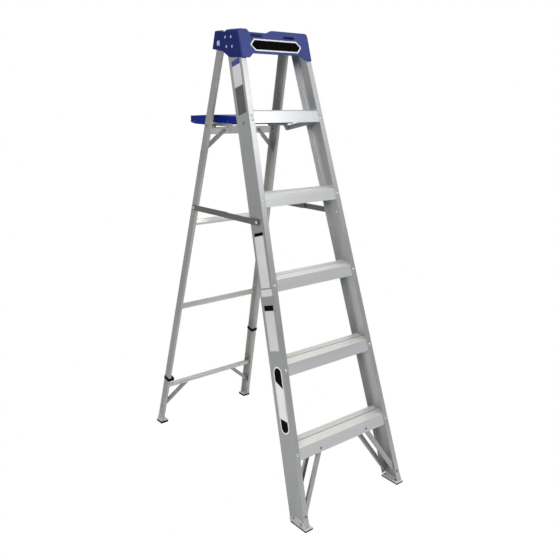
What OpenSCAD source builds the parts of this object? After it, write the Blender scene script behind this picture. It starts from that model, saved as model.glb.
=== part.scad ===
// Folding step ladder: five steps, moulded cap, pail shelf and spreaders.
// X runs across the ladder, Y from front to back, Z up. The ladder stands open on Z = 0.

/* [Overall] */
// Outside width across the front rails at the floor
base_w = 521; // [480:1:560]
// Distance of each rear rail's web inside the front rail's, at the floor
rear_base_in = 6; // [3:0.5:10]
// Lean of the front section from the vertical, degrees
front_lean = 17.9; // [15:0.1:20]
// Lean of the rear section from the vertical, degrees
rear_lean = 12.4; // [10:0.1:15]
// Inward lean of each front rail, degrees
front_batter = 3.13; // [2.6:0.01:3.4]
// Height of the top of the cap
cap_top = 1722; // [1700:1:1760]

/* [Steps] */
// Distance between steps, measured along the rail
step_pitch = 304.8; // [290:0.1:310]
// Height of the first step's tread
first_step_z = 278; // [260:1:300]
// Height of a step's front and rear skirts
skirt_h = 42; // [30:1:50]
// Thickness of a tread or skirt
step_t = 2; // [1.5:0.1:3]
// Height of the grip ribs on a tread
rib_h = 1; // [0.6:0.1:1.5]
// Spacing of the grip ribs
rib_pitch = 7; // [6:0.5:10]

/* [Front rails] */
// Depth of the front rail's channel
rail_d = 78; // [70:1:90]
// Width of the front rail's flanges
flange_w = 22.4; // [18:0.2:26]
// Wall of the front rail
rail_t = 2; // [1.6:0.1:3]

/* [Rear rails] */
// Depth of the rear rail's channel
rear_d = 33.4; // [30:0.2:40]
// Width of the rear rail's rear flange
rear_flange_w = 27; // [24:0.5:28]
// Width of the rear rail's front flange
rear_lip_w = 11.5; // [8:0.5:14]
// Wall of the rear rail
rear_t = 2; // [1.6:0.1:2.6]
// Length of rear rail above the fold pivot
rear_head = 18; // [16:1:20]

/* [Fold pivot] */
// Distance of the fold pivot below the cap's top
pivot_drop = 49; // [44:1:54]
// Distance of the fold pivot behind the front rails' front face
pivot_n = 117; // [112:0.5:122]
// Diameter of the fold pivot pin
pivot_dia = 9.5; // [8:0.1:11]
// Diameter of the fold pivot's head
pivot_head_dia = 19; // [15:0.5:22]
// Play of each pin in its hole, on the radius
pin_play = 0.05; // [0.03:0.01:0.08]

/* [Cap] */
// Wall of the moulded cap
cap_wall = 4; // [3:0.2:5]
// Thickness of the cap's end panels
cap_end_t = 5; // [4:0.2:6]
// Distance of the cap's front face before the rails' front face
cap_front_gap = 5.7; // [5:0.1:8]
// Depth of the tray in the cap's top
tray_recess = 10; // [6:0.5:12]
// Width of the tray's rim at the cap's ends
cap_rim = 16; // [12:1:20]
// Radius of the cap's top corners
cap_corner_r = 14; // [8:1:18]
// Height of the front slots for tools
slot_h = 9; // [6:0.5:10]

/* [Spreaders] */
// Height of the spreader's front pivot
spreader_front_z = 1052; // [1040:1:1064]
// Height of the spreader's rear pivot
spreader_rear_z = 1043; // [1036:1:1050]
// Length of the front bar between its pivots
front_bar_len = 201; // [200:0.5:207]
// Width of the spreader bars
bar_w = 22; // [18:0.5:24]
// Thickness of the spreader bars
bar_t = 2; // [1.6:0.1:2.4]
// Height of the raised edges of the rear bar
bar_lip = 1.4; // [0.8:0.1:1.6]
// Diameter of the spreader rivets
spreader_pin_dia = 6.4; // [5:0.1:8]

/* [Pail shelf] */
// Distance of the shelf's sides inside the rear rails' webs, at its pivot
shelf_side_gap = 36.9; // [36.5:0.1:42]
// Length of the shelf in front of its pivot
shelf_front = 161; // [140:1:164]
// Length of the shelf behind its pivot
shelf_back = 196; // [170:1:205]
// Height of the shelf's edge above its pivot, in front of the top rear bar
shelf_rise = 13; // [12:0.5:15]
// Thickness of the shelf in front of the top rear bar
shelf_h = 29; // [24:0.5:30]
// Thickness of the shelf behind the top rear bar
shelf_deep = 42; // [36:0.5:44]
// Fall of the shelf's rim towards its rear end
shelf_fall = 13; // [6:1:16]
// Distance of the shelf's pivot below the fold pivot, along the rear rail
shelf_pivot_drop = 310; // [306:0.5:314]
// Distance of the shelf's pivot behind the rear rail's middle
shelf_pivot_n = 6; // [6:0.2:7]
// Distance of the arms' front pivots below the fold pivot, along the front rails
arm_pivot_drop = 317.9; // [312:0.1:326]
// Wall of the shelf
shelf_wall = 3; // [2:0.2:4]
// Width of the shelf's arms and brackets
arm_w = 19; // [16:0.5:20]
// Thickness of the shelf's arms and brackets
arm_t = 2.4; // [2:0.1:2.8]
// Drop of the arm's joint below the shelf's pivot
arm_drop = 8; // [6:0.5:12]
// Diameter of the shelf's pins
shelf_pin_dia = 6.4; // [5:0.1:8]

/* [Rear bars] */
// Height of the two middle rear bars
rear_bar_h = 28; // [22:0.5:30]
// Height of the top rear bar
top_bar_h = 26; // [22:0.5:28]
// Diameter of the bottom rear bar
bottom_bar_dia = 23; // [18:0.5:26]
// Depth of the top rear bar
top_bar_d = 6.2; // [5:0.1:6.4]
// Depth of the middle rear bars
rear_bar_d = 12; // [8:0.5:14]
// Distance of the top rear bar's middle below the shelf's pivot
top_bar_drop = 22; // [21:0.5:25]
// Height of the second rear bar's middle
second_bar_z = 972; // [950:1:990]
// Height of the third rear bar's middle
third_bar_z = 586; // [570:1:610]
// Height of the bottom rear bar's middle
bottom_bar_z = 195.5; // [180:0.5:220]
// Wall of the rear bars
bar_wall = 1.6; // [1.2:0.1:2]

/* [Braces] */
// Width of a brace channel
brace_w = 16; // [12:0.5:18]
// Depth of a brace channel's legs
brace_d = 11; // [8:0.5:12]
// Wall of a brace channel
brace_t = 1.6; // [1.2:0.1:2]
// Distance of a front brace's upper rivet from the middle
brace_top_x = 120; // [105:1:135]
// Distance of the upper knee brace's top from the middle
knee_top_x = 88; // [80:1:100]
// Distance of the lower knee brace's top from the middle
low_knee_top_x = 134; // [120:1:150]
// Drop of the upper knee brace's foot below its top
knee_drop = 84; // [70:1:92]
// Drop of the lower knee brace's foot below its top
low_knee_drop = 112; // [96:1:125]

/* [Feet] */
// Thickness of the front rubber soles
sole_t = 6; // [4:0.5:8]
// Thickness of the rear rubber soles
rear_sole_t = 10; // [6:0.5:12]
// Thickness of the shoe plates
shoe_t = 2.2; // [1.8:0.1:3]
// Height of the shoe's side leaf
shoe_h = 30; // [24:1:40]
// Distance that a sole reaches past its rail
sole_lip = 4; // [3:0.5:6]

/* [Rivets] */
// Diameter of the small rivets' shanks
rivet_dia = 4.8; // [4:0.1:5.6]
// Diameter of the small rivets' heads
rivet_head_dia = 9.6; // [8:0.1:11]
// Height of the small rivets' heads
rivet_head_h = 2.2; // [1.6:0.1:3]

// Shank diameter of the knee braces' rivets
knee_rivet_dia = 4; // [3.2:0.1:4]
// Head diameter of the knee braces' rivets
knee_rivet_head = 7.8; // [6.4:0.2:8]

/* [Hidden] */

LEFT = -1;
RIGHT = 1;
ROUND = 48;
ALUMINIUM = [0.72, 0.73, 0.75];
STEEL = [0.55, 0.56, 0.58];
CAP_BLUE = [0.16, 0.19, 0.48];
RUBBER = [0.08, 0.08, 0.09];

// Places in the side plane. The front section's own frame has n behind its front face and
// s up along its slope, and the rear section's frame starts at the fold pivot.
function front_s(z, n) = (z + n * sin(front_lean)) / cos(front_lean);
function front_y(n, s) = n * cos(front_lean) + s * sin(front_lean);
function front_z(n, s) = -n * sin(front_lean) + s * cos(front_lean);
function web_x(s) = base_w / 2 - tan(front_batter) * s;

rear_base_w = base_w - 2 * rear_base_in;
pivot_z = cap_top - pivot_drop;
pivot_s = front_s(pivot_z, pivot_n);
pivot_y = front_y(pivot_n, pivot_s);
leg_len = pivot_z / cos(rear_lean);
cap_play = 1.4;
rear_head_x = web_x(pivot_s) - cap_play;
rear_batter = atan((rear_base_w / 2 - rear_head_x) / leg_len);
function rear_web_x(drop) = rear_head_x + tan(rear_batter) * drop;
function rear_y(n, drop) = pivot_y + n * cos(rear_lean) + drop * sin(rear_lean);
function rear_z(n, drop) = pivot_z + n * sin(rear_lean) - drop * cos(rear_lean);
function rear_drop(z) = (pivot_z - z) / cos(rear_lean);
// A length that no piece of the ladder reaches
far = cap_top + base_w;

// The overall box runs from the front soles to the rear soles.
front_edge = -sole_lip;
rear_edge = rear_y(rear_d / 2, leg_len) + sole_lip;
mid_y = (front_edge + rear_edge) / 2;

// Frames of the two sections and of their rails.
module place() { translate([0, -mid_y, 0]) children(); }
module front_frame() { place() rotate([-front_lean, 0, 0]) children(); }
module rear_frame() { place() translate([0, pivot_y, pivot_z]) rotate([rear_lean, 0, 0]) children(); }
module front_web(side) {
    translate([side * base_w / 2, 0, 0]) rotate([0, -side * front_batter, 0]) children();
}
module rear_web(side) {
    translate([side * rear_head_x, 0, 0]) rotate([0, side * -rear_batter, 0]) children();
}
// A place on a front or rear web's outer face, with the pin's axis pointing outward as local Z.
module on_front_web(side, n, s) {
    front_frame() front_web(side) translate([0, n, s / cos(front_batter)])
        rotate([0, side * 90, 0]) children();
}
module on_rear_web(side, n, drop) {
    rear_frame() rear_web(side) translate([0, n, -drop / cos(rear_batter)])
        rotate([0, side * 90, 0]) children();
}

// A headed rivet along Z: the shank passes down through the grip, with a tail head under it.
module rivet(dia, head_dia, head_h, grip) {
    tail_dia = (dia + head_dia) / 2;
    intersection() {
        translate([0, 0, head_h - head_dia]) sphere(d = 2 * head_dia, $fn = ROUND);
        cylinder(d = head_dia, h = head_h, $fn = ROUND);
    }
    translate([0, 0, -grip]) cylinder(d = dia, h = grip, $fn = ROUND);
    translate([0, 0, -grip - head_h / 2]) cylinder(d = tail_dia, h = head_h / 2, $fn = ROUND);
}
hole_play = 0.1;
module rivet_hole(grip, dia = rivet_dia) {
    translate([0, 0, -grip - 1]) cylinder(d = dia + 2 * hole_play, h = grip + 2, $fn = ROUND);
}

// The space between the two front webs' outer faces, moved out by off, and the same at the rear.
module between_front_webs(off) {
    low = -rail_d;
    high = far;
    front_frame() translate([0, far, 0]) rotate([90, 0, 0]) linear_extrude(far + rail_d)
        polygon([[-web_x(low) - off, low], [web_x(low) + off, low], [web_x(high) + off, high],
            [-web_x(high) - off, high]]);
}
module between_rear_webs(off) {
    low = leg_len + rear_d;
    high = -rear_d;
    rear_frame() translate([0, rear_d, 0]) rotate([90, 0, 0]) linear_extrude(2 * rear_d)
        polygon([[-rear_web_x(low) - off, -low], [rear_web_x(low) + off, -low],
            [rear_web_x(high) + off, -high], [-rear_web_x(high) - off, -high]]);
}
// Everything above or below a height
module above(z) { translate([-far, -far, z]) cube([2 * far, 2 * far, far]); }
module below(z) { translate([-far, -far, z - far]) cube([2 * far, 2 * far, far]); }

// ---- Steps ----
tread_d = (rail_d - 2 * rail_t) / cos(front_lean);
function tread_z(i) = first_step_z + (i - 1) * step_pitch * cos(front_lean);
function tread_y(i) = tread_z(i) * tan(front_lean) + rail_t / cos(front_lean);
rib_count = floor((tread_d - 6) / rib_pitch);
rib_w = 2;
module step(i) {
    slope = tan(front_lean);
    skin = step_t / cos(front_lean);
    base = -rib_h;
    ribs = [for (k = [rib_count - 1:-1:0]) let (y = 5 + k * rib_pitch)
        each [[y + rib_w, base], [y + rib_w * 0.7, 0], [y + rib_w * 0.3, 0], [y, base]]];
    section = concat(ribs, [[base * slope, base], [-skirt_h * slope, -skirt_h],
        [skin - skirt_h * slope, -skirt_h],
        [skin - (step_t - base) * slope, base - step_t],
        [tread_d - skin - (step_t - base) * slope, base - step_t],
        [tread_d - skin - skirt_h * slope, -skirt_h], [tread_d - skirt_h * slope, -skirt_h],
        [tread_d + base * slope, base]]);
    color(ALUMINIUM) difference() {
        intersection() {
            place() translate([-base_w, tread_y(i), tread_z(i)]) rotate([90, 0, 90])
                linear_extrude(2 * base_w)
                polygon(section);
            between_front_webs(-rail_t / cos(front_batter));
        }
        step_holes(i, rail_t + step_t);
        if (i == 1)
            brace_top_holes();
    }
}
module step_1() { step(1); }
module step_2() { step(2); }
module step_3() { step(3); }
module step_4() { step(4); }
module step_5() { step(5); }

// Step rivets: one through each flange, and two through the front flange of the top step.
step_rivet_in = 12;
step_rivet_drop = 21;
top_rivet_drops = [17, 32];
function step_s(i, n) = front_s(tread_z(i), n);
function front_drops(i) = i == 5 ? top_rivet_drops : [step_rivet_drop];
module step_rivet_places(i) {
    for (side = [LEFT, RIGHT]) {
        for (drop = front_drops(i)) {
            s = step_s(i, rail_t) - drop;
            front_frame() translate([side * (web_x(s) - step_rivet_in), 0, s]) rotate([90, 0, 0]) children();
        }
        back_s = step_s(i, rail_d) - step_rivet_drop;
        front_frame() translate([side * (web_x(back_s) - step_rivet_in), rail_d, back_s]) rotate([-90, 0, 0])
            children();
    }
}
module step_holes(i, grip) { step_rivet_places(i) rivet_hole(grip); }
module step_rivets() {
    color(STEEL) for (i = [1:5])
        step_rivet_places(i) rivet(rivet_dia, rivet_head_dia, rivet_head_h, rail_t + step_t);
}

// ---- Front rails ----
module channel(depth, front_w, rear_w, wall) {
    polygon([[0, 0], [front_w, 0], [front_w, wall], [wall, wall], [wall, depth - wall],
        [rear_w, depth - wall], [rear_w, depth], [0, depth]]);
}
rail_top_z = cap_top - 22;
shoe_top = sole_t + shoe_t;
module front_rail(side) {
    color(ALUMINIUM) difference() {
        front_frame() front_web(side) translate([0, 0, -rail_d]) linear_extrude(far)
            mirror([side == RIGHT ? 1 : 0, 0, 0]) channel(rail_d, flange_w, flange_w, rail_t);
        below(shoe_top);
        above(rail_top_z);
        for (i = [1:5])
            step_holes(i, rail_t + step_t);
        cap_rivet_places(side) rivet_hole(cap_end_t + rail_t);
        shoe_rivet_places(side) rivet_hole(shoe_t + rail_t);
        brace_foot_holes();
        on_front_web(side, spreader_n, spreader_s) pin_hole(spreader_pin_dia, rail_t);
        arm_axis(side) pin_hole(shelf_pin_dia, 20);
    }
}
module front_rail_left() { front_rail(LEFT); }
module front_rail_right() { front_rail(RIGHT); }
module pin_hole(dia, wall) {
    translate([0, 0, -wall - 1]) cylinder(d = dia + 2 * hole_play, h = wall + 2, $fn = ROUND);
}

// ---- Cap ----
cap_h = 99.5;
cap_foot = 75;
cap_tail_rise = 22;
cap_tail_start = 46;
cap_tail_y = 187;
cap_tail_h = 64;
cap_back_slope = 12;
cap_top_fall = 4.5;
cap_round_r = 12;
cap_low_z = cap_top - cap_h;
cap_floor_z = cap_top - tray_recess;
function cap_front_y(z) = z * tan(front_lean) - cap_front_gap / cos(front_lean);
cap_y0 = cap_front_y(cap_low_z);
cap_back_y = cap_y0 + cap_tail_y - cap_back_slope;
cap_back_z = cap_top - cap_top_fall;
cap_mid_x = web_x(front_s(cap_top, 0)) + cap_end_t;
module side_prism(points) {
    place() translate([-base_w, 0, 0]) rotate([90, 0, 90]) linear_extrude(2 * base_w) polygon(points);
}
module front_prism(points, y0, y1) {
    place() translate([0, y1, 0]) rotate([90, 0, 0]) linear_extrude(y1 - y0) polygon(points);
}
module cap_outer() {
    w = web_x(front_s(cap_low_z, 0)) + cap_end_t;
    r = cap_round_r;
    tr = cap_corner_r;
    intersection() {
        side_prism([[cap_y0, cap_low_z], [cap_y0 + cap_foot, cap_low_z + 1],
            [cap_y0 + cap_foot + cap_tail_start, cap_low_z + cap_tail_rise + 1],
            [cap_back_y + cap_back_slope, cap_back_z - cap_tail_h], [cap_back_y, cap_back_z],
            [cap_y0 + 82, cap_top], [cap_front_y(cap_top), cap_top]]);
        between_front_webs(cap_end_t);
        // rounded front corners, seen along the rails
        front_frame() translate([0, -cap_front_gap, cap_low_z]) linear_extrude(far) polygon(concat(
            [for (a = [0:15:90]) [-w + r - r * cos(a), r - r * sin(a)]],
            [for (a = [90:-15:0]) [w - r + r * cos(a), r - r * sin(a)]], [[w, far], [-w, far]]));
        // rounded top corners, seen from the front
        front_prism(concat([[-cap_mid_x - 60, cap_low_z - 5], [-cap_mid_x - 4, cap_top - 2 * tr]],
            [for (a = [0:15:90]) [-cap_mid_x + tr - tr * cos(a), cap_top - tr + tr * sin(a)]],
            [for (a = [90:-15:0]) [cap_mid_x - tr + tr * cos(a), cap_top - tr + tr * sin(a)]],
            [[cap_mid_x + 4, cap_top - 2 * tr], [cap_mid_x + 60, cap_low_z - 5]]), cap_y0 - cap_foot,
            cap_back_y + cap_foot);
    }
}
module cap_hollow() {
    low = cap_low_z - 30;
    top = cap_floor_z - cap_wall;
    skin = cap_wall / cos(front_lean);
    intersection() {
        side_prism([[cap_front_y(low) + skin, low], [cap_back_y + cap_back_slope + 4, low],
            [cap_back_y + cap_back_slope - cap_wall, cap_back_z - cap_tail_h], [cap_back_y - cap_wall, top],
            [cap_front_y(top) + skin, top]]);
        between_front_webs(0);
    }
}
cap_rail_rivets = [[38, -29], [72, -29], [38, -62], [72, -62]];
module cap_rivet_places(side) {
    for (p = cap_rail_rivets)
        on_front_web(side, p[0], front_s(cap_top + p[1], p[0])) translate([0, 0, cap_end_t]) children();
}
module fold_axis(side) {
    place() translate([side * (web_x(pivot_s) + cap_end_t + boss_h), pivot_y, pivot_z])
        rotate([0, side * 90, 0])
        children();
}
boss_h = 1.2;
cap_hole_dia = 15;
cap_hole_spacing = 36;
cap_hole_in = 36;
cap_big_hole_dia = 30;
cap_big_hole_y = 84;
cap_notch_y = 107;
module top_cap() {
    rim_x = cap_mid_x - cap_rim;
    front_rim_y = cap_front_y(cap_top) + cap_rim * 0.8;
    notch_y = cap_y0 + cap_notch_y;
    color(CAP_BLUE) difference() {
        union() {
            cap_outer();
            for (side = [LEFT, RIGHT])
                fold_axis(side) translate([0, 0, -boss_h - 3])
                    cylinder(d = pivot_head_dia + 4, h = boss_h + 3, $fn = ROUND);
        }
        cap_hollow();
        // tray in the top, with a gap in its front rim and one in each end
        place() translate([-rim_x, front_rim_y, cap_floor_z])
            cube([2 * rim_x, cap_back_y - cap_rim - front_rim_y, 20]);
        front_prism([[-126, cap_top + 1], [-116, cap_floor_z], [-30, cap_floor_z], [-4, cap_top + 1]],
            cap_front_y(cap_top) - 20, front_rim_y + 1);
        side_prism([[notch_y, cap_top + 3], [notch_y + 3, cap_floor_z], [notch_y + 29, cap_floor_z],
            [notch_y + 35, cap_top + 3]]);
        // holes and slots for tools
        for (i = [-2.5:2.5])
            place() translate([i * cap_hole_spacing, cap_back_y - cap_hole_in, cap_floor_z - 20])
                cylinder(d = cap_hole_dia, h = 30, $fn = ROUND);
        for (x = [-64, 64])
            place() translate([x, cap_y0 + cap_big_hole_y, cap_floor_z - 20])
                cylinder(d = cap_big_hole_dia, h = 30, $fn = ROUND);
        for (x = [-86, 69])
            place() translate([x - 27, cap_front_y(cap_top) - 30, cap_floor_z - cap_wall - 3 - slot_h])
                cube([54, 50, slot_h]);
        // raised lower edge of the front face
        front_prism([[-134, cap_low_z - 1], [-115, cap_low_z + 15],
            [115, cap_low_z + 15], [134, cap_low_z - 1]],
            cap_y0 - cap_foot, cap_front_y(cap_low_z + 20) + 20);
        for (side = [LEFT, RIGHT]) {
            cap_rivet_places(side) rivet_hole(cap_end_t + rail_t);
            fold_axis(side) pin_hole(pivot_dia, 30);
        }
    }
}
module cap_rivets() {
    color(STEEL) for (side = [LEFT, RIGHT])
        cap_rivet_places(side) rivet(rivet_dia, rivet_head_dia, rivet_head_h, cap_end_t + rail_t);
}
// Blank plate on the cap's front face
plate_w = 242;
plate_h = 46;
plate_t = 0.8;
plate_cut = 20;
module badge_plate() {
    w = plate_w / 2;
    h = plate_h / 2;
    color([0.05, 0.05, 0.06]) front_frame()
        translate([0, -cap_front_gap, front_s(cap_top - cap_h * 0.56, 0)]) rotate([90, 0, 0])
            linear_extrude(plate_t) polygon([[-w, -h + plate_cut], [-w + plate_cut, -h],
                [w - plate_cut, -h], [w, -h + plate_cut], [w, h - plate_cut],
                [w - plate_cut, h], [-w + plate_cut, h], [-w, h - plate_cut]]);
}
fold_tail_gap = 1;
module fold_pivots() {
    grip = boss_h + cap_end_t + web_x(pivot_s) - rear_head_x + rear_t + fold_tail_gap;
    color(STEEL) for (side = [LEFT, RIGHT])
        fold_axis(side) rivet(pivot_dia, pivot_head_dia, 3.4, grip);
}

// ---- Spreaders: flat bars on the outside of the rails, joined by a rivet in the middle ----
axial_play = 0.3;
front_bar_off = 3.6;
rear_bar_off = 0.5;
spreader_n = rail_d * 0.43;
spreader_s = front_s(spreader_front_z, spreader_n);
spreader_y = front_y(spreader_n, spreader_s);
spreader_rear_drop = rear_drop(spreader_rear_z);
spreader_rear_y = rear_y(0, spreader_rear_drop);
spreader_len = norm([spreader_rear_y - spreader_y, spreader_rear_z - spreader_front_z]);
mid_share = front_bar_len / spreader_len;
joint_y = spreader_y + (spreader_rear_y - spreader_y) * mid_share;
joint_z = spreader_front_z + (spreader_rear_z - spreader_front_z) * mid_share;
joint_n = joint_y * cos(front_lean) - joint_z * sin(front_lean);
joint_s = joint_y * sin(front_lean) + joint_z * cos(front_lean);
joint_rear_n = (joint_y - pivot_y) * cos(rear_lean) + (joint_z - pivot_z) * sin(rear_lean);
joint_drop = (joint_y - pivot_y) * sin(rear_lean) - (joint_z - pivot_z) * cos(rear_lean);
// A bar from the local origin towards direction (across, along), in the plane of a web: local X points down
// the rail on the right side and up it on the left.
// Its far end is round, or square with a tail past the far hole.
module flat_bar(length, width, thick, hole, far_hole, tail = 0) {
    difference() {
        union() {
            translate([0, -width / 2, 0]) cube([length + tail, width, thick]);
            cylinder(d = width, h = thick, $fn = ROUND);
            if (tail == 0)
                translate([length, 0, 0]) cylinder(d = width, h = thick, $fn = ROUND);
        }
        translate([0, 0, -1]) cylinder(d = hole, h = thick + 2, $fn = ROUND);
        translate([length, 0, -1]) cylinder(d = far_hole, h = thick + 2, $fn = ROUND);
    }
}
bar_tail = 8;
dimple_back = 58;
dimple_dia = 6;
dimple_deep = 0.7;
module spreader_front_bar(side) {
    along = (joint_s - spreader_s) / cos(front_batter);
    across = joint_n - spreader_n;
    length = norm([along, across]);
    color(STEEL) on_front_web(side, spreader_n, spreader_s) rotate([0, 0, atan2(across, -side * along)])
        translate([0, 0, front_bar_off]) {
            difference() {
                flat_bar(length, bar_w, bar_t, spreader_pin_dia + 2 * pin_play,
                    spreader_pin_dia - 2, bar_tail);
                translate([length - dimple_back, 0, bar_t - dimple_deep])
                    cylinder(d = dimple_dia, h = bar_t, $fn = ROUND);
            }
            translate([length, 0, 0]) rivet_cap(spreader_pin_dia - 2);
        }
}
// Mid rivet: its head lies on the front bar, and its shank stops flush with the bar's inner face.
module rivet_cap(dia) {
    head = bar_w * 0.5;
    cylinder(d = dia, h = bar_t, $fn = ROUND);
    translate([0, 0, bar_t]) intersection() {
        translate([0, 0, 2.4 - head]) sphere(d = 2 * head, $fn = ROUND);
        cylinder(d = head, h = 2.4, $fn = ROUND);
    }
}
module spreader_rear_bar(side) {
    along = (joint_drop - spreader_rear_drop) / cos(rear_batter);
    across = joint_rear_n;
    length = norm([along, across]);
    lip_start = bar_w;
    lip_end = length - bar_w * 1.2;
    color(STEEL) on_rear_web(side, 0, spreader_rear_drop) rotate([0, 0, atan2(across, side * along)])
        translate([0, 0, rear_bar_off]) {
            flat_bar(length, bar_w, bar_t, spreader_pin_dia + 2 * pin_play, spreader_pin_dia);
            for (edge = [-1, 1])
                translate([lip_start, edge * (bar_w / 2 - 1.5) - 1.5, bar_t])
                    cube([lip_end - lip_start, 3, bar_lip]);
        }
}
module spreader_front_bar_left() { spreader_front_bar(LEFT); }
module spreader_front_bar_right() { spreader_front_bar(RIGHT); }
module spreader_rear_bar_left() { spreader_rear_bar(LEFT); }
module spreader_rear_bar_right() { spreader_rear_bar(RIGHT); }
// Shouldered pin: the collar stands between the web and the bar.
module shoulder_pin(off, wall) {
    head = spreader_pin_dia * 1.7;
    out = off + bar_t + axial_play;
    cylinder(d = head, h = off - axial_play, $fn = ROUND);
    translate([0, 0, -wall]) cylinder(d = spreader_pin_dia, h = out + wall, $fn = ROUND);
    translate([0, 0, out]) intersection() {
        translate([0, 0, 2.6 - head]) sphere(d = 2 * head, $fn = ROUND);
        cylinder(d = head, h = 2.6, $fn = ROUND);
    }
    translate([0, 0, -wall - 1.6]) cylinder(d = head * 0.85, h = 1.6, $fn = ROUND);
}
module spreader_front_pins() {
    color(STEEL) for (side = [LEFT, RIGHT])
        on_front_web(side, spreader_n, spreader_s) shoulder_pin(front_bar_off, rail_t);
}
module spreader_rear_pins() {
    color(STEEL) for (side = [LEFT, RIGHT])
        on_rear_web(side, 0, spreader_rear_drop) shoulder_pin(rear_bar_off, rear_t);
}

// ---- Rear section ----
rear_shoe_top = rear_sole_t + shoe_t;
module rear_rail(side) {
    color(ALUMINIUM) difference() {
        rear_frame() rear_web(side) translate([0, -rear_d / 2, -leg_len - rear_d])
            linear_extrude(leg_len + rear_d + rear_head)
                mirror([side == RIGHT ? 1 : 0, 0, 0]) channel(rear_d, rear_lip_w, rear_flange_w, rear_t);
        below(rear_shoe_top);
        rear_frame() rotate([0, side * 90, 0])
            cylinder(d = pivot_dia + 2 * pin_play, h = base_w, $fn = ROUND);
        rear_bar_rivet_places(side) rivet_hole(rear_t + bar_wall);
        knee_foot_places(side) rivet_hole(rear_t + brace_t, knee_rivet_dia);
        rear_shoe_rivet_places(side) rivet_hole(shoe_t + rear_t);
        on_rear_web(side, 0, spreader_rear_drop) pin_hole(spreader_pin_dia, rear_t);
        shelf_axis(side) pin_hole(shelf_pin_dia, 20);
    }
}
module rear_rail_left() { rear_rail(LEFT); }
module rear_rail_right() { rear_rail(RIGHT); }

// Rear bars: pressed channels whose flat ends lie on the rear flanges, and a round bar at the bottom.
flange_n = rear_d / 2 - rear_t;
bar_drops = [shelf_pivot_drop + top_bar_drop, rear_drop(second_bar_z), rear_drop(third_bar_z)];
bottom_bar_drop = rear_drop(bottom_bar_z);
bar_rivet_in = 14;
module pressed_bar(drop, height, section) {
    half = rear_web_x(drop + height / 2) + 5;
    tab_x = rear_web_x(drop) - rear_flange_w;
    intersection() {
        rear_frame() translate([0, 0, -drop]) union() {
            translate([-tab_x, 0, 0]) rotate([90, 0, 90]) linear_extrude(2 * tab_x) polygon(section);
            for (side = [LEFT, RIGHT])
                translate([side == RIGHT ? tab_x - 1 : -half, flange_n - bar_wall, -height / 2])
                    cube([half - tab_x + 1, bar_wall, height]);
        }
        between_rear_webs(-rear_t / cos(rear_batter));
    }
}
module rear_bar(drop, height, section) {
    color(ALUMINIUM) difference() {
        pressed_bar(drop, height, section);
        for (side = [LEFT, RIGHT])
            rear_bar_rivet_at(side, drop) rivet_hole(rear_t + bar_wall);
        if (drop == bar_drops[0])
            knee_top_places() rivet_hole(brace_t + bar_wall, knee_rivet_dia);
    }
}
module rear_bar_rivet_at(side, drop) {
    rear_frame() translate([side * (rear_web_x(drop) - bar_rivet_in), rear_d / 2, -drop]) rotate([-90, 0, 0])
        children();
}
module rear_bar_rivet_places(side) {
    for (drop = bar_drops)
        rear_bar_rivet_at(side, drop) children();
}
module rear_bar_rivets() {
    color(STEEL) for (side = [LEFT, RIGHT])
        rear_bar_rivet_places(side) rivet(rivet_dia, rivet_head_dia, rivet_head_h, rear_t + bar_wall);
}
// Section of the top bar: a flat channel open to the rear
module top_rear_bar() {
    h = top_bar_h / 2;
    back = flange_n;
    front = flange_n - top_bar_d;
    rear_bar(bar_drops[0], top_bar_h, [[front, -h], [back, -h], [back, -h + bar_wall],
        [front + bar_wall, -h + bar_wall], [front + bar_wall, h - bar_wall], [back, h - bar_wall], [back, h],
        [front, h]]);
}
// Section of the middle bars: an angle with its corner to the front
module angle_bar(drop) {
    h = rear_bar_h / 2;
    back = flange_n;
    front = flange_n - rear_bar_d;
    w = bar_wall * 1.3;
    rear_bar(drop, rear_bar_h, [[front, 0], [back - w, -h], [back, -h], [back, -h + w], [front + 1.6 * w, 0],
        [back, h - w], [back, h], [back - w, h]]);
}
module second_rear_bar() { angle_bar(bar_drops[1]); }
module third_rear_bar() { angle_bar(bar_drops[2]); }
module bottom_rear_bar() {
    half = rear_web_x(bottom_bar_drop + 20) + 5;
    color(ALUMINIUM) intersection() {
        rear_frame() translate([0, flange_n - bottom_bar_dia / 2, -bottom_bar_drop]) rotate([0, 90, 0])
            translate([0, 0, -half]) difference() {
                cylinder(d = bottom_bar_dia, h = 2 * half, $fn = ROUND);
                translate([0, 0, -1])
                    cylinder(d = bottom_bar_dia - 2 * bar_wall, h = 2 * half + 2, $fn = ROUND);
            }
        between_rear_webs(-rear_t / cos(rear_batter));
    }
}

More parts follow.
